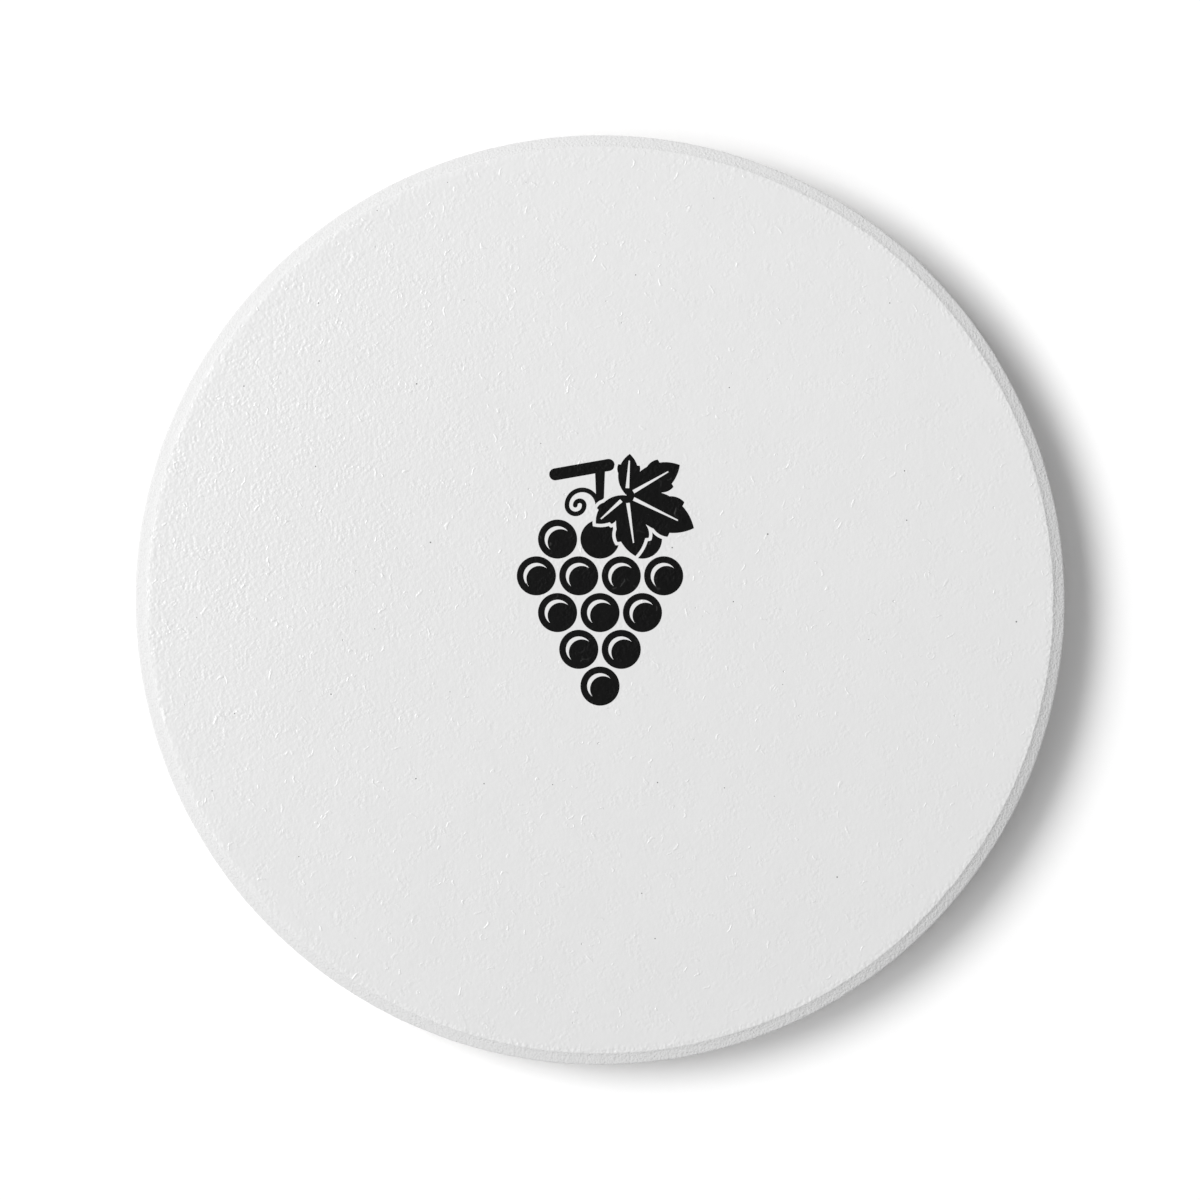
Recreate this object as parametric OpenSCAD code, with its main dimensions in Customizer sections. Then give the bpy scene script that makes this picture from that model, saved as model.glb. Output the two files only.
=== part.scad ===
// Round ceramic drinks coaster: a pressed disc with a bevelled rim, a thin satin
// coat on its face, a bunch of grapes dyed into that coat, and a cork sheet
// stuck on underneath.
// Millimetres, +Z up. The origin is the centre of the cork's underside, and +Y
// points to the top of the print.

/* [Ceramic disc] */
// Diameter over the side wall
disc_d = 100; // [90:1:120]
// Thickness of the pressed ceramic, without coat or cork
disc_t = 7.2; // [4:0.1:9]
// Width of the bevel round the top, seen from above
bevel_w = 1.3; // [0.8:0.05:2.5]
// Height of that bevel
bevel_h = 0.75; // [0.6:0.05:2]
// Radius that eases the bevel into the side wall
shoulder_r = 0.4; // [0.2:0.05:0.8]
// Radius round the lower edge
foot_r = 0.6; // [0.2:0.05:1]

/* [Face coat] */
// Thickness of the satin coat on the face
coat_t = 0.15; // [0.1:0.01:0.3]
// How far the coat's edge leans in from its foot to the face
coat_lean = 0.1; // [0.05:0.01:0.2]
// Depth to which the print dyes the coat
print_depth = 0.05; // [0.02:0.01:0.08]

/* [Cork backing] */
// Thickness of the cork sheet
cork_t = 1.5; // [1:0.1:4]
// Step from the side wall in to the edge of the cork
cork_inset = 2; // [0.5:0.1:4]
// Thickness of the adhesive between cork and ceramic
adhesive_t = 0.15; // [0.05:0.01:0.3]
// Step from the edge of the cork in to the edge of the adhesive
adhesive_inset = 0.5; // [0.1:0.1:2]

/* [Print] */
// How far the print's middle lies above the face's middle, as it is read
print_rise = 1.9; // [-4:0.1:4]
// White line left between neighbouring shapes
line_gap = 0.35; // [0.2:0.05:0.6]

/* [Grapes] */
// Diameter of one grape
grape_d = 4.2; // [3:0.1:5]
// Width of the white highlight on a grape
shine_w = 0.45; // [0.2:0.05:0.7]

/* [Cane] */
// Height of the cane's top above the bunch
cane_h = 6.5; // [5:0.1:8]
// Length of the piece of cane at the top
cane_l = 5.8; // [4:0.1:7]
// Thickness of that cane
cane_w = 1.3; // [0.8:0.1:1.6]
// Width of the stalk where it leaves the cane
stalk_w = 1.1; // [0.7:0.1:1.6]
// Width of the line that the tendril is drawn with
tendril_w = 0.5; // [0.3:0.05:0.6]
// Outer radius of the tendril's first half turn
tendril_r = 1.9; // [1.6:0.1:2.6]

/* [Leaf] */
// Length of the leaf's middle lobe
leaf_l = 8; // [6:0.1:10]
// Width of that lobe
lobe_w = 3.9; // [3:0.1:5]
// Width of the white vein along each lobe
vein_w = 0.4; // [0.2:0.05:0.6]

/* [Hidden] */
$fn = 96;

// One overrun serves every cut
overrun = 0.02;

// The stack, from the table up
adhesive_z = cork_t;
disc_z = adhesive_z + adhesive_t;
coat_z = disc_z + disc_t;
face_z = coat_z + coat_t;
print_z = face_z - print_depth;

// The rim: the coat ends where the bevel starts, and its own edge is steeper
disc_r = disc_d / 2;
coat_r = disc_r - bevel_w;
face_r = coat_r - coat_lean;
cork_r = disc_r - cork_inset;
adhesive_r = cork_r - adhesive_inset;
bevel_angle = atan2(bevel_h, bevel_w);
bevel_foot = disc_t - bevel_h;
shoulder_reach = shoulder_r * tan((90 - bevel_angle) / 2);

// The bunch: grapes in each row from the top, packed as balls are
grape_rows = [3, 4, 3, 2, 1];
grape_r = grape_d / 2;
grape_step = grape_d + line_gap;
row_step = grape_step * sin(60);
bunch_h = row_step * (len(grape_rows) - 1) + grape_d;
print_h = bunch_h + cane_h;
top_row_y = print_h / 2 - cane_h - grape_r;
// The highlight's circle, as a share of the grape's, and where it faces
shine_share = 0.66;
shine_turn = 135;

// The cane, which tilts, with its stalk this share of the way along
cane_tilt = 10;
cane_stalk_share = 0.84;
cane_y = print_h / 2 - cane_w / 2 - cane_l * (1 - cane_stalk_share) * sin(cane_tilt);

// The leaf lies beside the stalk, at shares of its length from the cane
leaf_out_share = 0.36;
leaf_down_share = 0.39;
leaf_x = leaf_l * leaf_out_share;
leaf_y = cane_y - leaf_l * leaf_down_share;
leaf_turn = -26;
// Direction of each lobe from the middle one, and its share of that one's size
lobe_turns = [-112, -56, 0, 56, 112];
lobe_shares = [0.56, 0.82, 1, 0.82, 0.56];
// A tooth on each side of a lobe: where it starts, how long and wide it is, as
// shares of the lobe, and how far it turns outwards
tooth_start_share = 0.4;
tooth_l_share = 0.42;
tooth_w_share = 0.24;
tooth_turn = 38;
// The veins: where they start, as a share of the leaf, how long they are, as a
// share of the lobe, and how wide they end, as a share of their start
vein_start_share = 0.1;
vein_l_share = 0.66;
vein_tip_share = 0.35;

// The stalk runs down until the leaf hides its foot, and the tendril leaves it
// just above there. Both are shares of the leaf's length, below its middle
stalk_down_share = 0.26;
tendril_down_share = 0.13;
stalk_foot_y = leaf_y - leaf_l * stalk_down_share;
tendril_y = leaf_y - leaf_l * tendril_down_share;
stalk_foot_share = 0.65;
// Each half turn of the tendril is this share of the one before
tendril_share = 0.62;
tendril_turns = 3;

// Ceramic, coat, adhesive and cork

// Half of the disc's section. The circles lie inside it and round two corners
module disc_section() {
    polygon([
        [0, 0],
        [disc_r - foot_r, 0],
        [disc_r, foot_r],
        [disc_r, bevel_foot - shoulder_reach],
        [
            disc_r - shoulder_reach * cos(bevel_angle),
            bevel_foot + shoulder_reach * sin(bevel_angle)
        ],
        [coat_r, disc_t],
        [0, disc_t]
    ]);
    translate([disc_r - foot_r, foot_r]) circle(foot_r);
    translate([disc_r - shoulder_r, bevel_foot - shoulder_reach]) circle(shoulder_r);
}

module ceramic_disc() {
    color("whitesmoke")
        translate([0, 0, disc_z])
            rotate_extrude()
                disc_section();
}

// The coat has a pocket for each shape of the print, which lies flush in it
module face_coat() {
    color("white")
        difference() {
            translate([0, 0, coat_z])
                cylinder(h = coat_t, r1 = coat_r, r2 = face_r);
            dyed(overrun) {
                grape_shapes();
                leaf_shapes();
                cane_shapes();
            }
        }
}

module adhesive_sheet() {
    color("ivory")
        translate([0, 0, adhesive_z])
            cylinder(h = adhesive_t, r = adhesive_r);
}

module cork_backing() {
    color("peru")
        cylinder(h = cork_t, r = cork_r);
}

// The print

// Flat shapes as deep as the dye goes, with their tops flush with the face, or
// standing proud of it where they cut
module dyed(proud = 0) {
    translate([0, print_rise, print_z])
        linear_extrude(print_depth + proud)
            children();
}

// A lens with its two points on the X axis, one of them at the origin
module lens(l, w, grow) {
    r = (l * l + w * w) / (4 * w);
    intersection() {
        translate([l / 2, r - w / 2]) circle(r + grow);
        translate([l / 2, w / 2 - r]) circle(r + grow);
    }
}

// A bar along +X from the origin that narrows from one width to another
module bar(l, w_start, w_end) {
    polygon([[0, -w_start / 2], [l, -w_end / 2], [l, w_end / 2], [0, w_start / 2]]);
}

// A crescent along the upper left of a grape
module grape_shine() {
    shine_r = grape_r * shine_share;
    rotate(shine_turn)
        difference() {
            circle(shine_r);
            translate([-shine_w, 0]) circle(shine_r);
        }
}

// The leaf lies in front of the bunch, and its shade leaves no highlight on the
// grapes behind it. The stalk and the tendril's lower turn keep clear as well
module grape_shapes() {
    difference() {
        for (row = [0 : len(grape_rows) - 1])
            for (i = [0 : grape_rows[row] - 1])
                translate([
                    (i - (grape_rows[row] - 1) / 2) * grape_step,
                    top_row_y - row * row_step
                ])
                    difference() {
                        circle(grape_r);
                        if (row > 0 || i == 0) grape_shine();
                    }
        leaf_outline(line_gap);
        stalk(line_gap);
        translate([tendril_x(1), tendril_y]) circle(tendril_radius(1) + line_gap);
    }
}

// One lobe with a tooth on each side
module lobe(l, w, grow) {
    lens(l, w, grow);
    for (side = [-1, 1])
        translate([l * tooth_start_share, 0])
            rotate(side * tooth_turn)
                lens(l * tooth_l_share, l * tooth_w_share, grow);
}

module each_lobe() {
    translate([leaf_x, leaf_y])
        rotate(leaf_turn)
            for (i = [0 : len(lobe_turns) - 1])
                rotate(lobe_turns[i]) {
                    $lobe_share = lobe_shares[i];
                    children();
                }
}

module leaf_outline(grow) {
    each_lobe() lobe(leaf_l * $lobe_share, lobe_w * $lobe_share, grow);
}

module leaf_shapes() {
    difference() {
        leaf_outline(0);
        each_lobe()
            translate([leaf_l * vein_start_share, 0])
                bar(leaf_l * $lobe_share * vein_l_share, vein_w, vein_w * vein_tip_share);
    }
}

// The tendril's half turns lie above and below one line by turns, and each
// starts where the one before it ends
function tendril_radius(i) = tendril_r * pow(tendril_share, i);
function tendril_side(i) = i % 2 == 0 ? 1 : -1;
function tendril_x(i) = i == 0 ? -tendril_r
    : tendril_x(i - 1) + tendril_side(i) * (tendril_radius(i - 1) - tendril_radius(i));

module half_turn(r) {
    intersection() {
        difference() {
            circle(r);
            circle(r - tendril_w);
        }
        translate([-r - overrun, 0]) square([2 * (r + overrun), r + overrun]);
    }
}

module tendril() {
    last = tendril_turns - 1;
    translate([0, tendril_y]) {
        for (i = [0 : last])
            translate([tendril_x(i), 0])
                mirror([0, i % 2])
                    half_turn(tendril_radius(i));
        translate([tendril_x(last) - tendril_side(last) * (tendril_radius(last) - tendril_w / 2), 0])
            circle(tendril_w / 2);
    }
}

module stalk(grow) {
    translate([0, cane_y])
        rotate(-90)
            bar(
                cane_y - stalk_foot_y + grow,
                stalk_w + 2 * grow,
                stalk_w * stalk_foot_share + 2 * grow
            );
}

module cane() {
    translate([0, cane_y])
        rotate(cane_tilt)
            translate([-cane_l * cane_stalk_share, 0]) {
                bar(cane_l, cane_w, cane_w);
                for (x = [0, cane_l])
                    translate([x, 0]) circle(cane_w / 2);
            }
}

module cane_shapes() {
    difference() {
        union() {
            cane();
            stalk(0);
            tendril();
        }
        leaf_outline(line_gap);
    }
}

module grape_print() {
    color("#1a1a1a") dyed() grape_shapes();
}

module leaf_print() {
    color("#1a1a1a") dyed() leaf_shapes();
}

module cane_print() {
    color("#1a1a1a") dyed() cane_shapes();
}

ceramic_disc();
face_coat();
grape_print();
leaf_print();
cane_print();
adhesive_sheet();
cork_backing();
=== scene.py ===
import math
import random

import bmesh
import bpy
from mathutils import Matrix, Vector, noise


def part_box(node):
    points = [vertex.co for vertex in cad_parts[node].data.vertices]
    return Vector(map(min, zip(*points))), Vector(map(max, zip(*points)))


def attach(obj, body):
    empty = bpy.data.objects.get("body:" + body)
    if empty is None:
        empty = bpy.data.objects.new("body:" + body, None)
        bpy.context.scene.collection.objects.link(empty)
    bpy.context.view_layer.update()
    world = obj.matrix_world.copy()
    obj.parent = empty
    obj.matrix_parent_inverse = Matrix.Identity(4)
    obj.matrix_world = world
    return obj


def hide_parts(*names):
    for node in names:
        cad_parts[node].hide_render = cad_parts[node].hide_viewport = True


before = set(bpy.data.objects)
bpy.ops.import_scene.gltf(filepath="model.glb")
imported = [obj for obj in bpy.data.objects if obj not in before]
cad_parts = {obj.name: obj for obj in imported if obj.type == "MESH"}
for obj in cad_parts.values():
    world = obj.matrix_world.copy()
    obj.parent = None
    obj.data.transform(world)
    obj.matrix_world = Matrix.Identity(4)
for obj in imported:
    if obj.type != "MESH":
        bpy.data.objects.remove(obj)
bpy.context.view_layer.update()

# Metres, with +Z up and the coaster's cork on z = 0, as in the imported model
mm = 0.001
micron = 0.000001
near = 2 * micron        # places closer than this count as the same

discLow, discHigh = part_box("ceramic_disc")
coatLow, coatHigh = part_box("face_coat")
corkLow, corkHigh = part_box("cork_backing")
discRadius = discHigh.x
coatRadius = coatHigh.x
corkRadius = corkHigh.x
coatZ = coatLow.z
faceZ = coatHigh.z

# The rim's section, as the solids have it
rim = {
    "bevelHeight": 0.75 * mm,
    "shoulderRadius": 0.4 * mm,
    "footRadius": 0.6 * mm,
    "coatLean": 0.1 * mm,
    "segments": 2048,
}
faceRadius = coatRadius - rim["coatLean"]


# Selecting and shaping

def clearSelection():
    bpy.ops.object.select_all(action="DESELECT")


def editMode():
    bpy.ops.object.mode_set(mode="EDIT")


def objectMode():
    bpy.ops.object.mode_set(mode="OBJECT")


def pick(kind, test):
    # Selects the faces or edges of the mesh in edit mode that pass the test
    bpy.ops.mesh.select_mode(type=kind)
    bpy.ops.mesh.select_all(action="DESELECT")
    mesh = bpy.context.edit_object.data
    bm = bmesh.from_edit_mesh(mesh)
    for item in (bm.faces if kind == "FACE" else bm.edges):
        if test(item):
            item.select_set(True)
    bm.select_flush_mode()
    bmesh.update_edit_mesh(mesh)


def flatRadius(vert):
    return vert.co.xy.length


def onCircle(edge, radius, z):
    # True for an edge of the horizontal circle at that radius and height
    return all(
        abs(flatRadius(vert) - radius) < near and abs(vert.co.z - z) < near
        for vert in edge.verts
    )


def spansHeight(edge, lowZ, highZ):
    # True for an edge that runs up the wall between these heights
    zs = sorted(vert.co.z for vert in edge.verts)
    return zs[0] > lowZ - micron and zs[1] < highZ + micron and zs[1] - zs[0] > 5 * micron


def cutRows(lowZ, highZ, cuts):
    pick("EDGE", lambda edge: spansHeight(edge, lowZ, highZ))
    bpy.ops.mesh.subdivide(number_cuts=cuts)


def extrudeRing(fromRadius, toRadius, rise):
    # Carries the selected ring on to another radius and height
    bpy.ops.mesh.extrude_region_move(TRANSFORM_OT_translate={"value": (0, 0, rise)})
    share = toRadius / fromRadius
    bpy.ops.transform.resize(value=(share, share, 1), center_override=(0, 0, 0))


def pushIn(piece, weights, texture, depth):
    # Presses a noise pattern into the surface, never past where the CAD has it
    group = piece.vertex_groups.new(name="pushIn")
    for index, weight in weights.items():
        group.add([index], weight, "REPLACE")
    push = piece.modifiers.new("pushIn", "DISPLACE")
    push.texture = texture
    push.texture_coords = "LOCAL"
    push.strength = depth
    push.mid_level = 1.0        # so that it only presses inwards
    push.vertex_group = group.name
    bpy.context.view_layer.objects.active = piece
    bpy.ops.object.modifier_apply(modifier=push.name)
    piece.vertex_groups.clear()


def cloudTexture(name, size, depth=2):
    texture = bpy.data.textures.new(name, "CLOUDS")
    texture.noise_scale = size
    texture.noise_depth = depth
    return texture


def saveAttribute(piece, name, values):
    layer = piece.data.attributes.new(name, "FLOAT", "POINT")
    layer.data.foreach_set("value", values)


def finishPiece(piece, material, slotName, *nodes, smoothAngle=25):
    bpy.ops.object.shade_smooth_by_angle(angle=math.radians(smoothAngle))
    piece.data.materials.clear()
    piece.data.materials.append(material)
    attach(piece, "root")
    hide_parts(*nodes)
    print(piece.name, "has", len(piece.data.polygons), "faces")


# Chips along the sharp edge between face and bevel

chips = {
    "count": 120,
    "seed": 11,
    "length": (0.12 * mm, 0.4 * mm),
    "depth": (0.015 * mm, 0.1 * mm),
    "waveDepth": 0.025 * mm,
    "wavesAround": 160,
    "reach": 0.35 * mm,
}


def makeChips():
    rng = random.Random(chips["seed"])
    return [
        (rng.uniform(-math.pi, math.pi), rng.uniform(*chips["length"]), rng.uniform(*chips["depth"]))
        for _ in range(chips["count"])
    ]


chipList = makeChips()


def chipDepth(co):
    # How far the edge is worn back at this point's bearing from the middle
    angle = math.atan2(co.y, co.x)
    direction = Vector((math.cos(angle), math.sin(angle), 0))
    worn = chips["waveDepth"] * abs(noise.noise(direction * chips["wavesAround"] / 2))
    for chipAngle, length, depth in chipList:
        turn = (angle - chipAngle + math.pi) % (2 * math.pi) - math.pi
        along = abs(turn) * faceRadius / length
        if along < 1:
            worn = max(worn, depth * (1 - along * along))
    return worn


def wearEdge(piece):
    # Moves what lies near the sharp edge inwards, and less with distance from it
    bm = bmesh.new()
    bm.from_mesh(piece.data)
    worn = []
    for vert in bm.verts:
        radius = flatRadius(vert)
        distance = math.hypot(radius - coatRadius, vert.co.z - coatZ)
        share = max(0, 1 - distance / chips["reach"])
        depth = chipDepth(vert.co) * share if share else 0
        if depth:
            vert.co.xy *= (radius - depth) / radius
        worn.append(depth / chips["depth"][1])
    bm.to_mesh(piece.data)
    bm.free()
    saveAttribute(piece, "wear", worn)


# Materials

def addNode(tree, kind, inputs=None, **settings):
    made = tree.nodes.new("ShaderNode" + kind)
    for name, value in settings.items():
        setattr(made, name, value)
    for name, value in (inputs or {}).items():
        if isinstance(value, bpy.types.NodeSocket):
            tree.links.new(value, made.inputs[name])
        else:
            made.inputs[name].default_value = value
    return made


def maths(tree, operation, *values):
    return addNode(tree, "Math", dict(enumerate(values)), operation=operation).outputs[0]


def remap(tree, value, fromMin, fromMax, toMin=0.0, toMax=1.0, kind="LINEAR"):
    inputs = {"Value": value, 1: fromMin, 2: fromMax, 3: toMin, 4: toMax}
    return addNode(tree, "MapRange", inputs, interpolation_type=kind).outputs[0]


def grain(tree, where, size, detail=2.0, roughness=0.5):
    # Soft noise from 0 to 1 whose lumps are about this size
    inputs = {"Vector": where, "Scale": 1 / size, "Detail": detail, "Roughness": roughness}
    return addNode(tree, "TexNoise", inputs).outputs[0]


def spread(tree, noiseValue, low, high):
    # Noise seldom leaves 0.3 to 0.7, and this takes that span to low and high
    return remap(tree, noiseValue, 0.3, 0.7, low, high)


def vectorMaths(tree, operation, *values, output=0):
    made = addNode(tree, "VectorMath", dict(enumerate(values)), operation=operation)
    return made.outputs[output]


def swum(tree, where, size, reach):
    # The same place, pulled about by soft noise so that regular shapes go uneven
    swim = addNode(tree, "TexNoise", {"Vector": where, "Scale": 1 / size, "Detail": 2.0})
    drift = vectorMaths(tree, "SUBTRACT", swim.outputs["Color"], (0.5, 0.5, 0.5))
    return vectorMaths(tree, "MULTIPLY_ADD", drift, (reach, reach, reach), where)


def fromAxis(tree, where):
    # Distance from the disc's axis, or from the middle of a cell
    flat = vectorMaths(tree, "MULTIPLY", where, (1, 1, 0))
    return vectorMaths(tree, "LENGTH", flat, output="Value")


def scattered(tree, where, cell):
    # Cells of this size: the place in each from its own point, and three draws for each
    inputs = {"Vector": where, "Scale": 1 / cell}
    cells = addNode(tree, "TexVoronoi", inputs, voronoi_dimensions="2D")
    local = vectorMaths(tree, "SUBTRACT", where, cells.outputs["Position"])
    draw = addNode(tree, "SeparateColor", {0: cells.outputs["Color"]})
    return local, draw.outputs


def paintedLightSlope(tree, where, towards, tone):
    # A tone that rises across the piece, by this much for each millimetre along X, Y and Z: painted
    # light, brighter towards where more light falls
    slope = vectorMaths(tree, "DOT_PRODUCT", where, towards, output="Value")
    return maths(tree, "ADD", tone, maths(tree, "DIVIDE", slope, mm))


def varied(tree, noiseValue, middle, reach):
    # A tone that goes this far to both sides of its middle over the noise
    return remap(tree, noiseValue, 0.0, 1.0, middle - reach, middle + reach)


def mixColours(tree, factor, first, second):
    inputs = {0: factor, 6: first, 7: second}
    return addNode(tree, "Mix", inputs, data_type="RGBA").outputs[2]


def grey(value):
    return (value, value, value, 1)


def startMaterial(name):
    material = bpy.data.materials.new(name)
    material.use_nodes = True
    tree = material.node_tree
    where = addNode(tree, "TexCoord").outputs["Object"]
    return material, tree, tree.nodes["Principled BSDF"], where


def bumpFrom(tree, shader, height, depth, socket="Normal"):
    bump = addNode(tree, "Bump", {"Height": height, "Distance": depth, "Strength": 1.0})
    tree.links.new(bump.outputs[0], shader.inputs[socket])


# The coat's relief, which runs on over the dye: a slow swell, marks, which are bent
# fibres and broken rings where bubbles burst, and grit. The coat was sprayed from one
# side, so the grit is rougher there. It is also rougher in patches and along the rim

relief = {
    "gritSize": 0.43 * mm,
    "gritShare": 0.5,
    "fineSize": 0.24 * mm,
    "fineShare": 0.1,
    "swellSize": 1.6 * mm,
    "swellShare": 0.25,
    "sprayPlace": (-55 * mm, 23 * mm, 0),
    "sprayReach": (22 * mm, 64 * mm),
    "sprayGrit": (0.98, 0.28),
    "sprayMarks": (0.9, 0.75),
    "patchSize": 2.2 * mm,
    "patchSpan": (0.46, 0.64),
    "patchGrit": 0.8,
    "rimReach": (0.9 * mm, 0.3 * mm),
    "rimSpray": (60 * mm, 90 * mm),
    "rimGrit": (0.9, 2.2),
    "fibreShare": 0.5,
    "ringShare": 0.34,
    "markSwim": (0.7 * mm, 0.6 * mm),
    "breakSize": 0.5 * mm,
    "breakSpan": (0.42, 0.58),
    "bodyDepth": 112 * micron,
    "bodyMarks": 0.7,
    "skinDepth": 68 * micron,
    "skinMarks": 1.05,
}
# A set's bend is the most that its fibres curve, per metre
fibreSets = [
    {"cell": 2.9 * mm, "length": 1.1 * mm, "width": 0.17 * mm, "bend": 1000, "present": 0.25},
    {"cell": 1.9 * mm, "length": 0.6 * mm, "width": 0.15 * mm, "bend": 1800, "present": 0.5},
]
rings = {"cell": 3.0 * mm, "radius": (0.03 * mm, 0.36 * mm), "width": 0.15 * mm, "present": 0.35}


def fibreMask(tree, where, fibre):
    # One bent fibre in some of the cells, each at its own turn and strength
    local, draws = scattered(tree, where, fibre["cell"])
    turn = maths(tree, "MULTIPLY", draws[0], 2 * math.pi)
    turned = addNode(tree, "VectorRotate", {"Vector": local, "Angle": turn}, rotation_type="Z_AXIS")
    place = addNode(tree, "SeparateXYZ", {0: turned.outputs[0]})
    bend = varied(tree, draws[1], 0.0, fibre["bend"])
    sag = maths(tree, "MULTIPLY", maths(tree, "MULTIPLY", place.outputs[0], place.outputs[0]), bend)
    off = maths(tree, "ABSOLUTE", maths(tree, "SUBTRACT", place.outputs[1], sag))
    across = remap(tree, off, 0.0, fibre["width"], 1.0, 0.0, "SMOOTHSTEP")
    reach = maths(tree, "ABSOLUTE", place.outputs[0])
    along = remap(tree, reach, 0.25 * fibre["length"], 0.5 * fibre["length"], 1.0, 0.0, "SMOOTHSTEP")
    # Most are faint, and a few are strong
    present = remap(tree, draws[2], fibre["present"], 1.0)
    present = maths(tree, "MULTIPLY", present, present)
    return maths(tree, "MULTIPLY", maths(tree, "MULTIPLY", across, along), present)


def ringMask(tree, where):
    # A raised ring in some of the cells, each of its own radius
    local, draws = scattered(tree, where, rings["cell"])
    radius = remap(tree, draws[0], 0.0, 1.0, *rings["radius"])
    off = maths(tree, "ABSOLUTE", maths(tree, "SUBTRACT", fromAxis(tree, local), radius))
    across = remap(tree, off, 0.0, rings["width"], 1.0, 0.0, "SMOOTHSTEP")
    return maths(tree, "MULTIPLY", across, remap(tree, draws[1], rings["present"], 1.0))


def roughMask(tree, where, reach):
    # How rough the grit is here, where reach is the distance from the spray
    sprayed = remap(tree, reach, *relief["sprayReach"], *relief["sprayGrit"], "SMOOTHSTEP")
    patch = grain(tree, where, relief["patchSize"])
    patch = remap(tree, patch, *relief["patchSpan"], 0.0, 1.0, "SMOOTHSTEP")
    rough = maths(tree, "MULTIPLY_ADD", patch, relief["patchGrit"], sprayed)
    rimStart, rimFull = [faceRadius - inset for inset in relief["rimReach"]]
    onRim = remap(tree, fromAxis(tree, where), rimStart, rimFull)
    rimGrit = remap(tree, reach, *relief["rimSpray"], *relief["rimGrit"])
    return maths(tree, "MAXIMUM", rough, maths(tree, "MULTIPLY", onRim, rimGrit))


def gritHeight(tree, where):
    # Coarse and fine grit together, about zero
    coarse = grain(tree, where, relief["gritSize"], 1.0)
    fine = grain(tree, where, relief["fineSize"], 1.0)
    grit = maths(tree, "MULTIPLY", coarse, relief["gritShare"])
    grit = maths(tree, "MULTIPLY_ADD", fine, relief["fineShare"], grit)
    return maths(tree, "SUBTRACT", grit, (relief["gritShare"] + relief["fineShare"]) / 2)


def makeReliefGroup():
    tree = bpy.data.node_groups.new("coatRelief", "ShaderNodeTree")
    for name in ("Fibres", "Body", "Skin"):
        tree.interface.new_socket(name, in_out="OUTPUT", socket_type="NodeSocketFloat")
    where = addNode(tree, "TexCoord").outputs["Object"]
    reach = vectorMaths(tree, "DISTANCE", where, relief["sprayPlace"], output="Value")
    height = maths(tree, "MULTIPLY", gritHeight(tree, where), roughMask(tree, where, reach))
    swell = grain(tree, where, relief["swellSize"])
    height = maths(tree, "MULTIPLY_ADD", swell, relief["swellShare"], height)
    # Fibres and rings are bent a little, and parts of the rings are left out
    bent = swum(tree, where, *relief["markSwim"])
    kept = remap(tree, grain(tree, where, relief["breakSize"], 1.0), *relief["breakSpan"])
    fibres = maths(tree, "MAXIMUM", *[fibreMask(tree, bent, fibre) for fibre in fibreSets])
    ring = maths(tree, "MULTIPLY", ringMask(tree, bent), kept)
    marks = maths(tree, "MULTIPLY", fibres, relief["fibreShare"])
    marks = maths(tree, "MULTIPLY_ADD", ring, relief["ringShare"], marks)
    strength = remap(tree, reach, *relief["sprayReach"], *relief["sprayMarks"])
    marks = maths(tree, "MULTIPLY", marks, strength)
    ends = tree.nodes.new("NodeGroupOutput")
    tree.links.new(fibres, ends.inputs["Fibres"])
    tree.links.new(maths(tree, "MULTIPLY_ADD", marks, relief["bodyMarks"], height), ends.inputs["Body"])
    tree.links.new(maths(tree, "MULTIPLY_ADD", marks, relief["skinMarks"], height), ends.inputs["Skin"])
    return tree


reliefGroup = makeReliefGroup()


def addRelief(tree, shader):
    # The skin shows the relief in its gloss, and the body under it in its shading
    made = tree.nodes.new("ShaderNodeGroup")
    made.node_tree = reliefGroup
    bumpFrom(tree, shader, made.outputs["Body"], relief["bodyDepth"])
    bumpFrom(tree, shader, made.outputs["Skin"], relief["skinDepth"], "Coat Normal")
    return made.outputs["Fibres"]


# Dark spots painted where pinholes lie, here and there: painted shade of the pinholes

pinholeShade = {
    "cell": 9 * mm,
    "radius": (0.04 * mm, 0.09 * mm),
    "present": 0.5,
    "colour": 0.18,
}


def pinholeShadeMask(tree, where):
    # A round spot in some of the cells
    local, draws = scattered(tree, where, pinholeShade["cell"])
    radius = remap(tree, draws[0], 0.0, 1.0, *pinholeShade["radius"])
    inside = maths(tree, "LESS_THAN", fromAxis(tree, local), radius)
    present = maths(tree, "GREATER_THAN", draws[1], pinholeShade["present"])
    return maths(tree, "MULTIPLY", inside, present)


def mixWear(tree, tone, strength, wornTone):
    # Mixes in the worn tone where the sharp edge is worn
    wear = addNode(tree, "Attribute", attribute_name="wear").outputs["Fac"]
    return mixColours(tree, maths(tree, "MULTIPLY", wear, strength), tone, grey(wornTone))


satin = {
    "colour": 0.697,
    "mottle": 0.012,
    "mottleSize": 6 * mm,
    # Painted light: how fast the coat's tone rises per millimetre, brighter towards where more light
    # falls
    "paintedLightTowards": (0.00015, 0.00040, 0),
    "cloudSize": 0.9 * mm,
    "bodyRoughness": (0.85, 0.95),
    "bodySpecular": 0.1,
    "skinRoughness": (0.32, 0.37),
    "fibreRoughness": 0.05,
    "skinIor": 1.75,
    "rimWidth": 0.06 * mm,
    "worn": 0.84,
    "wornSize": 0.2 * mm,
}


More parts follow.
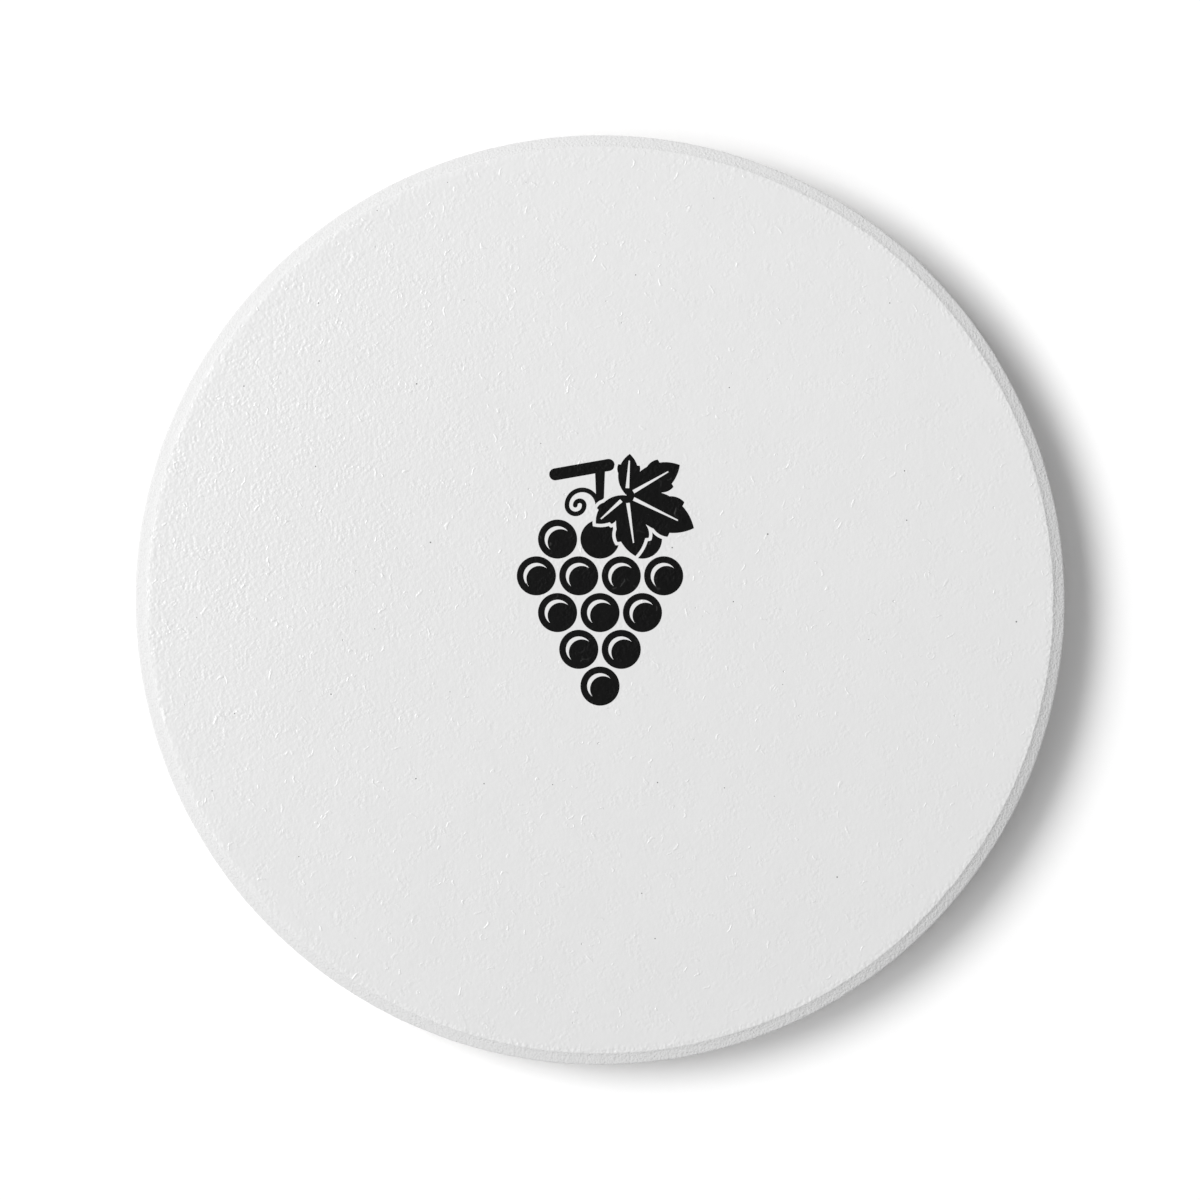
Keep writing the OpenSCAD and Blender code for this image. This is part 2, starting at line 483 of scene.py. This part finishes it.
def makeSatinCoat():
    material, tree, shader, where = startMaterial("satinCoat")
    fibres = addRelief(tree, shader)
    mottle = grain(tree, where, satin["mottleSize"], 3.0)
    tone = varied(tree, mottle, satin["colour"], satin["mottle"])
    # Painted light: the tone rises towards one side, as if more light fell there
    tone = paintedLightSlope(tree, where, satin["paintedLightTowards"], tone)
    tone = mixWear(tree, tone, grain(tree, where, satin["wornSize"]), satin["worn"])
    # Painted shade: dark round spots standing in for the shade inside pinholes
    tone = mixColours(tree, pinholeShadeMask(tree, where), tone, grey(pinholeShade["colour"]))
    tree.links.new(tone, shader.inputs["Base Color"])
    cloud = grain(tree, where, satin["cloudSize"], 3.0)
    tree.links.new(spread(tree, cloud, *satin["bodyRoughness"]), shader.inputs["Roughness"])
    rough = spread(tree, cloud, *satin["skinRoughness"])
    rough = maths(tree, "MULTIPLY_ADD", fibres, satin["fibreRoughness"], rough)
    tree.links.new(rough, shader.inputs["Coat Roughness"])
    # The satin skin ends at the coat's broken edge, which is matt
    skinEnd = faceRadius - satin["rimWidth"]
    skin = remap(tree, fromAxis(tree, where), skinEnd, skinEnd + satin["rimWidth"] / 2, 1.0, 0.0)
    tree.links.new(skin, shader.inputs["Coat Weight"])
    shader.inputs["Coat IOR"].default_value = satin["skinIor"]
    shader.inputs["Specular IOR Level"].default_value = satin["bodySpecular"]
    return material


dye = {
    "colour": 0.003,
    "mark": 0.03,
    "fibreShare": 0.6,
    "thinSize": 0.22 * mm,
    "thinSpan": (0.62, 0.8),
    "thinShare": 0.35,
    "cloudSize": 0.9 * mm,
    "roughness": (0.36, 0.46),
    "specular": 0.08,
}


def makeBlackDye():
    material, tree, shader, where = startMaterial("blackDye")
    fibres = addRelief(tree, shader)
    # The dye is thinner on fibres and in small spots, and a little paler there
    spots = remap(tree, grain(tree, where, dye["thinSize"]), *dye["thinSpan"])
    spots = maths(tree, "MULTIPLY", spots, dye["thinShare"])
    thin = maths(tree, "MAXIMUM", maths(tree, "MULTIPLY", fibres, dye["fibreShare"]), spots)
    tone = mixColours(tree, thin, grey(dye["colour"]), grey(dye["mark"]))
    tree.links.new(tone, shader.inputs["Base Color"])
    rough = spread(tree, grain(tree, where, dye["cloudSize"], 3.0), *dye["roughness"])
    tree.links.new(rough, shader.inputs["Roughness"])
    shader.inputs["Specular IOR Level"].default_value = dye["specular"]
    return material


clay = {
    "colour": 0.70,
    "blotch": 0.012,
    "blotchSize": 0.34 * mm,
    "speckSize": 0.15 * mm,
    "speckSpan": (0.68, 0.78),
    "speckShare": 0.25,
    "speckColour": 0.3,
    "roughSize": 0.5 * mm,
    "roughness": (0.78, 0.92),
    "diffuseRoughness": 0.3,
    "specular": 0.3,
    # Painted light: how fast the ceramic's tone rises per millimetre towards +Y
    "paintedLightTowards": (0, 0.00040, 0),
    "worn": 0.58,
    "wornShare": 0.4,
    "gritSize": 0.26 * mm,
    "depth": 140 * micron,
}


def makePressedCeramic():
    material, tree, shader, where = startMaterial("pressedCeramic")
    blotch = grain(tree, where, clay["blotchSize"], 3.0, 0.6)
    tone = spread(tree, blotch, clay["colour"] - clay["blotch"], clay["colour"] + clay["blotch"])
    # Painted light: the tone rises towards +Y, as if more light fell there
    tone = paintedLightSlope(tree, where, clay["paintedLightTowards"], tone)
    speck = remap(tree, grain(tree, where, clay["speckSize"], 1.0), *clay["speckSpan"])
    speck = maths(tree, "MULTIPLY", speck, clay["speckShare"])
    tone = mixColours(tree, speck, tone, grey(clay["speckColour"]))
    tone = mixWear(tree, tone, clay["wornShare"], clay["worn"])
    tree.links.new(tone, shader.inputs["Base Color"])
    rough = spread(tree, grain(tree, where, clay["roughSize"]), *clay["roughness"])
    tree.links.new(rough, shader.inputs["Roughness"])
    shader.inputs["Specular IOR Level"].default_value = clay["specular"]
    shader.inputs["Diffuse Roughness"].default_value = clay["diffuseRoughness"]
    bumpFrom(tree, shader, grain(tree, where, clay["gritSize"]), clay["depth"])
    return material


cork = {
    "granule": 1.3 * mm,
    "swim": (1.2 * mm, 0.7 * mm),
    "tones": [(0.0, (0.10, 0.05, 0.022)), (0.10, (0.30, 0.17, 0.08)), (0.30, (0.47, 0.29, 0.15)),
              (0.70, (0.58, 0.39, 0.22)), (1.0, (0.42, 0.25, 0.12))],
    "veinSize": 0.35 * mm,
    "veinSpan": (0.4, 0.75),
    "veinShare": 0.6,
    "vein": (0.24, 0.13, 0.06, 1),
    "seam": (0.11, 0.055, 0.025, 1),
    "seamWidth": 0.09,
    "seamShare": 0.75,
    # Painted shade at the bottom of the gaps between granules
    "gapShadeSpan": (0.6, 1.0),
    "gapShadeShare": 0.6,
    "granuleRise": 0.5,
    "roughness": (0.75, 0.95),
    "specular": 0.25,
    "depth": 70 * micron,
}


def makeCorkBoard():
    material, tree, shader, where = startMaterial("corkBoard")
    moved = swum(tree, where, *cork["swim"])
    size = {"Vector": moved, "Scale": 1 / cork["granule"]}
    draw = addNode(tree, "SeparateColor", {0: addNode(tree, "TexVoronoi", size).outputs["Color"]})
    ramp = addNode(tree, "ValToRGB", {0: draw.outputs[0]})
    points = ramp.color_ramp.elements
    while len(points) < len(cork["tones"]):
        points.new(0.5)
    for point, (place, tone) in zip(points, cork["tones"]):
        point.position = place
        point.color = (*tone, 1)
    streak = grain(tree, moved, cork["veinSize"], 3.0, 0.65)
    vein = remap(tree, streak, *cork["veinSpan"], 0.0, cork["veinShare"])
    tone = mixColours(tree, vein, ramp.outputs[0], cork["vein"])
    # The binder between granules is dark, and the bottom of each gap is darkened the deeper it lies,
    # which is painted shade
    edge = addNode(tree, "TexVoronoi", size, feature="DISTANCE_TO_EDGE").outputs["Distance"]
    seam = remap(tree, edge, 0.0, cork["seamWidth"], 1.0, 0.0, "SMOOTHSTEP")
    gapShade = addNode(tree, "Attribute", attribute_name="gapShade").outputs["Fac"]
    gapShade = remap(tree, gapShade, *cork["gapShadeSpan"], 0.0, cork["gapShadeShare"])
    binderAndGapShade = maths(tree, "MAXIMUM", maths(tree, "MULTIPLY", seam, cork["seamShare"]), gapShade)
    tree.links.new(mixColours(tree, binderAndGapShade, tone, cork["seam"]), shader.inputs["Base Color"])
    tree.links.new(spread(tree, streak, *cork["roughness"]), shader.inputs["Roughness"])
    shader.inputs["Specular IOR Level"].default_value = cork["specular"]
    bump = maths(tree, "MULTIPLY_ADD", draw.outputs[1], cork["granuleRise"], streak)
    bumpFrom(tree, shader, maths(tree, "SUBTRACT", bump, seam), cork["depth"])
    return material


adhesive = {
    "cloudSize": 1.4 * mm,
    "tones": ((0.70, 0.65, 0.50, 1), (0.84, 0.80, 0.69, 1)),
    "roughness": (0.28, 0.5),
    "rippleSize": 0.6 * mm,
    "depth": 25 * micron,
}


def makeClearAdhesive():
    material, tree, shader, where = startMaterial("clearAdhesive")
    cloud = grain(tree, where, adhesive["cloudSize"], 3.0)
    tree.links.new(mixColours(tree, cloud, *adhesive["tones"]), shader.inputs["Base Color"])
    tree.links.new(spread(tree, cloud, *adhesive["roughness"]), shader.inputs["Roughness"])
    bumpFrom(tree, shader, grain(tree, where, adhesive["rippleSize"]), adhesive["depth"])
    return material


satinCoat = makeSatinCoat()
blackDye = makeBlackDye()
pressedCeramic = makePressedCeramic()
corkBoard = makeCorkBoard()
clearAdhesive = makeClearAdhesive()
print("materials made")


# The pressed ceramic disc

disc = {
    "wallCuts": 12,
    "bevelCuts": 7,
    "shoulderSteps": 4,
    "footSteps": 5,
    "ringWidth": 4 * mm,
    "calmTop": 0.15 * mm,
    "calmFoot": 0.1 * mm,
    "gritSize": 0.5 * mm,
    "gritDepth": 0.045 * mm,
    "swellSize": 3.5 * mm,
    "swellDepth": 0.06 * mm,
}


def makeDisc():
    bevelFootZ = coatZ - rim["bevelHeight"]
    wallHeight = bevelFootZ - discLow.z
    clearSelection()
    bpy.ops.mesh.primitive_cylinder_add(
        vertices=rim["segments"], radius=discRadius, depth=wallHeight,
        location=(0, 0, discLow.z + wallHeight / 2),
    )
    piece = bpy.context.object
    piece.name = "pressed_disc"
    bpy.ops.object.transform_apply(location=True, rotation=True, scale=True)
    editMode()
    pick("FACE", lambda face: face.normal.z > 0.9)
    extrudeRing(discRadius, coatRadius, rim["bevelHeight"])
    # The bevel's foot is eased into the wall, and the lower edge is rounded
    bevelWidth = discRadius - coatRadius
    slope = math.atan2(rim["bevelHeight"], bevelWidth)
    shoulderReach = rim["shoulderRadius"] * math.tan((math.pi / 2 - slope) / 2)
    pick("EDGE", lambda edge: onCircle(edge, discRadius, bevelFootZ))
    bpy.ops.mesh.bevel(offset=shoulderReach, segments=disc["shoulderSteps"], affect="EDGES")
    pick("EDGE", lambda edge: onCircle(edge, discRadius, discLow.z))
    bpy.ops.mesh.bevel(offset=rim["footRadius"], segments=disc["footSteps"], affect="EDGES")
    cutRows(bevelFootZ + shoulderReach * math.sin(slope), coatZ, disc["bevelCuts"])
    cutRows(discLow.z + rim["footRadius"], bevelFootZ - shoulderReach, disc["wallCuts"])
    pick("FACE", lambda face: face.normal.z < -0.99)
    bpy.ops.mesh.inset(thickness=disc["ringWidth"])
    objectMode()
    # The grit fades out where the coat and the cork lie on the disc
    weights = {}
    for vert in piece.data.vertices:
        fromTop = (coatZ - vert.co.z) / disc["calmTop"]
        fromBottom = (vert.co.z - discLow.z) / disc["calmFoot"]
        if flatRadius(vert) > coatRadius - near:
            weights[vert.index] = max(0, min(1, fromTop, fromBottom))
    pushIn(piece, weights, cloudTexture("discGrit", disc["gritSize"], 3), disc["gritDepth"])
    pushIn(piece, weights, cloudTexture("discSwell", disc["swellSize"], 1), disc["swellDepth"])
    wearEdge(piece)
    finishPiece(piece, pressedCeramic, "ceramic", "ceramic_disc")


makeDisc()


# A round sheet whose one side is a fine grid, so that it can be pitted and pressed

def startRoundSheet(name, gridRadius, cells, ringRadius, z):
    clearSelection()
    bpy.ops.mesh.primitive_grid_add(x_subdivisions=cells, y_subdivisions=cells, size=2 * gridRadius)
    piece = bpy.context.object
    piece.name = name
    editMode()
    pick("FACE", lambda face: face.calc_center_median().xy.length > gridRadius)
    bpy.ops.mesh.delete(type="FACE")
    bpy.ops.mesh.primitive_circle_add(vertices=rim["segments"], radius=ringRadius)
    pick("EDGE", lambda edge: len(edge.link_faces) < 2)
    bpy.ops.mesh.fill(use_beauty=True)
    bpy.ops.mesh.select_all(action="SELECT")
    bpy.ops.transform.translate(value=(0, 0, z))
    pick("EDGE", lambda edge: len(edge.link_faces) < 2)
    return piece


def closeSheet():
    # The open ring is filled, and every face turned outwards
    bpy.ops.mesh.edge_face_add()
    bpy.ops.mesh.select_all(action="SELECT")
    bpy.ops.mesh.normals_make_consistent(inside=False)


# The satin coat, which lies a hair lower than the dye's tops so that the dye shows

coat = {
    "sunk": 4 * micron,
    "gridRadius": 46.8 * mm,
    "cells": 290,
    "ringRadius": 48 * mm,
    "thinFrom": 34 * mm,
    "thinning": 0.07 * mm,
    "edgeRound": 0.04 * mm,
    "edgeSteps": 3,
    "swellSize": 2.4 * mm,
    "swellDepth": 8 * micron,
    "pits": 45,
    "pitSeed": 5,
    "pitRadius": (0.07 * mm, 0.16 * mm),
    "pitLift": 0.25,
    "pitSides": 12,
    "pitRows": 8,
}


def makePits(z):
    # Small balls at drawn places, which are then cut out of the coat
    rng = random.Random(coat["pitSeed"])
    clearSelection()
    balls = []
    for _ in range(coat["pits"]):
        reach = coat["gridRadius"] * math.sqrt(rng.random())
        bearing = rng.uniform(0, 2 * math.pi)
        radius = rng.uniform(*coat["pitRadius"])
        lifted = z + coat["pitLift"] * radius
        bpy.ops.mesh.primitive_uv_sphere_add(
            segments=coat["pitSides"], ring_count=coat["pitRows"], radius=radius,
            location=(reach * math.cos(bearing), reach * math.sin(bearing), lifted),
        )
        balls.append(bpy.context.object)
    for ball in balls:
        ball.select_set(True)
    bpy.ops.object.join()
    bpy.ops.object.transform_apply(location=True, rotation=True, scale=True)
    return bpy.context.object


def thinCoat(piece, topZ):
    # Lowers the coat's top towards its edge, where the coat ran thin
    for vert in piece.data.vertices:
        share = (flatRadius(vert) - coat["thinFrom"]) / (faceRadius - coat["thinFrom"])
        height = (vert.co.z - coatZ) / (topZ - coatZ)
        vert.co.z -= coat["thinning"] * max(0, share) ** 2 * height


def makeCoat():
    topZ = faceZ - coat["sunk"]
    gridRadius, cells, ringRadius = coat["gridRadius"], coat["cells"], coat["ringRadius"]
    piece = startRoundSheet("coat_sheet", gridRadius, cells, ringRadius, topZ)
    extrudeRing(ringRadius, faceRadius, 0)
    extrudeRing(faceRadius, coatRadius, coatZ - topZ)
    closeSheet()
    pick("EDGE", lambda edge: onCircle(edge, faceRadius, topZ))
    bpy.ops.mesh.bevel(offset=coat["edgeRound"], segments=coat["edgeSteps"], affect="EDGES")
    objectMode()
    weights = {
        vert.index: 1.0 for vert in piece.data.vertices
        if flatRadius(vert) < gridRadius and vert.co.z > topZ - micron
    }
    pushIn(piece, weights, cloudTexture("coatSwell", coat["swellSize"]), coat["swellDepth"])
    thinCoat(piece, topZ)
    wearEdge(piece)
    pits = makePits(topZ)
    clearSelection()
    piece.select_set(True)
    bpy.context.view_layer.objects.active = piece
    cut = piece.modifiers.new("pits", "BOOLEAN")
    cut.object = pits
    cut.operation = "DIFFERENCE"
    cut.solver = "EXACT"
    bpy.ops.object.modifier_apply(modifier=cut.name)
    bpy.data.objects.remove(pits)
    finishPiece(piece, satinCoat, "satin_coat", "face_coat")


makeCoat()


# The cork sheet, pressed from granules, with its face on the table

corkSheet = {
    "gridRadius": 47.2 * mm,
    "cells": 250,
    "wallCuts": 4,
    "edgeRound": 0.12 * mm,
    "edgeSteps": 2,
    "calmTop": 0.3 * mm,
    "gapSharpness": 6,
    "gapDepth": 0.14 * mm,
    "voidSize": 2.6 * mm,
    "voidDepth": 0.05 * mm,
}


def makeCork():
    gridRadius, cells = corkSheet["gridRadius"], corkSheet["cells"]
    piece = startRoundSheet("cork_sheet", gridRadius, cells, corkRadius, corkLow.z)
    extrudeRing(corkRadius, corkRadius, corkHigh.z - corkLow.z)
    closeSheet()
    cutRows(corkLow.z, corkHigh.z, corkSheet["wallCuts"])
    pick("EDGE", lambda edge: onCircle(edge, corkRadius, corkLow.z))
    bpy.ops.mesh.bevel(
        offset=corkSheet["edgeRound"], segments=corkSheet["edgeSteps"], affect="EDGES",
    )
    objectMode()
    before = [vert.co.copy() for vert in piece.data.vertices]
    weights = {
        vert.index: min(1, max(0, (corkHigh.z - vert.co.z) / corkSheet["calmTop"]))
        for vert in piece.data.vertices
    }
    # The second nearest point less the nearest is low along the gaps between granules
    granules = bpy.data.textures.new("corkGranules", "VORONOI")
    granules.noise_scale = cork["granule"]
    granules.weight_1 = -1
    granules.weight_2 = 1
    granules.noise_intensity = corkSheet["gapSharpness"]
    voids = cloudTexture("corkVoids", corkSheet["voidSize"], 3)
    pushIn(piece, weights, granules, corkSheet["gapDepth"])
    pushIn(piece, weights, voids, corkSheet["voidDepth"])
    # Nothing may pass the table or the cut edge
    for vert in piece.data.vertices:
        vert.co.z = max(vert.co.z, corkLow.z)
        vert.co.xy *= min(1, corkRadius / max(flatRadius(vert), mm))
    # How deep each point was pressed, kept for the painted shade at the bottom of the cork's gaps
    gapShadeDepths = [
        min(1, (vert.co - start).length / corkSheet["gapDepth"])
        for vert, start in zip(piece.data.vertices, before)
    ]
    saveAttribute(piece, "gapShade", gapShadeDepths)
    finishPiece(piece, corkBoard, "cork", "cork_backing", smoothAngle=40)


makeCork()


# The dye and the adhesive keep their solids and get their finish

def finishNode(name, material):
    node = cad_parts[name]
    node.data.materials.clear()
    node.data.materials.append(material)


for printName in ("grape_print", "leaf_print", "cane_print"):
    finishNode(printName, blackDye)
finishNode("adhesive_sheet", clearAdhesive)
print("dye and adhesive finished")


# The floor, the light and the camera

studio = {
    "floorColour": 0.93,
    "floorMottle": 0.01,
    "floorGrain": 30 * mm,
    "floorSize": 3.0,
    "ambient": 0.37,
    "boxDistance": 3.0,
    "softboxes": [
        {"name": "mainSoftbox", "bearing": 158.9, "height": 54, "size": 1.49, "power": 69.2},
        {"name": "sideSoftbox", "bearing": 201.8, "height": 59, "size": 1.25, "power": 17.5},
    ],
    "cameraHeight": 0.45,
    "lens": 150,
    "discPixels": 465.4,
    "pixels": 1200,
}


def makeFloor():
    clearSelection()
    bpy.ops.mesh.primitive_plane_add(size=studio["floorSize"])
    floor = bpy.context.object
    floor.name = "floor"
    material, tree, shader, where = startMaterial("palePaper")
    mottle = grain(tree, where, studio["floorGrain"])
    tone = varied(tree, mottle, studio["floorColour"], studio["floorMottle"])
    tree.links.new(tone, shader.inputs["Base Color"])
    shader.inputs["Roughness"].default_value = 1.0
    shader.inputs["Specular IOR Level"].default_value = 0.0
    floor.data.materials.append(material)


def makeAir():
    world = bpy.data.worlds.new("studioAir")
    world.use_nodes = True
    background = world.node_tree.nodes["Background"]
    background.inputs["Color"].default_value = grey(1.0)
    background.inputs["Strength"].default_value = studio["ambient"]
    bpy.context.scene.world = world


def makeSoftbox(box):
    bearing = math.radians(box["bearing"])
    height = math.radians(box["height"])
    away = Vector((
        math.cos(height) * math.cos(bearing),
        math.cos(height) * math.sin(bearing),
        math.sin(height),
    ))
    bpy.ops.object.light_add(type="AREA", location=away * studio["boxDistance"])
    light = bpy.context.object
    light.name = box["name"]
    light.rotation_euler = away.to_track_quat("Z", "Y").to_euler()
    light.data.shape = "DISK"
    light.data.size = box["size"]
    light.data.energy = box["power"]


def makeCamera():
    # The lens is fixed, and the frame is as wide as the disc's share of it asks
    rimZ = coatZ - rim["bevelHeight"]
    bpy.ops.object.camera_add(location=(0, 0, rimZ + studio["cameraHeight"]))
    camera = bpy.context.object
    camera.name = "overhead"
    halfWidth = discRadius * studio["pixels"] / 2 / studio["discPixels"]
    camera.data.lens = studio["lens"]
    camera.data.sensor_width = 2 * studio["lens"] * halfWidth / studio["cameraHeight"]
    bpy.context.scene.camera = camera


makeFloor()
makeAir()
for box in studio["softboxes"]:
    makeSoftbox(box)
makeCamera()
bpy.context.scene.view_settings.view_transform = "Standard"
print("floor, light and camera made")
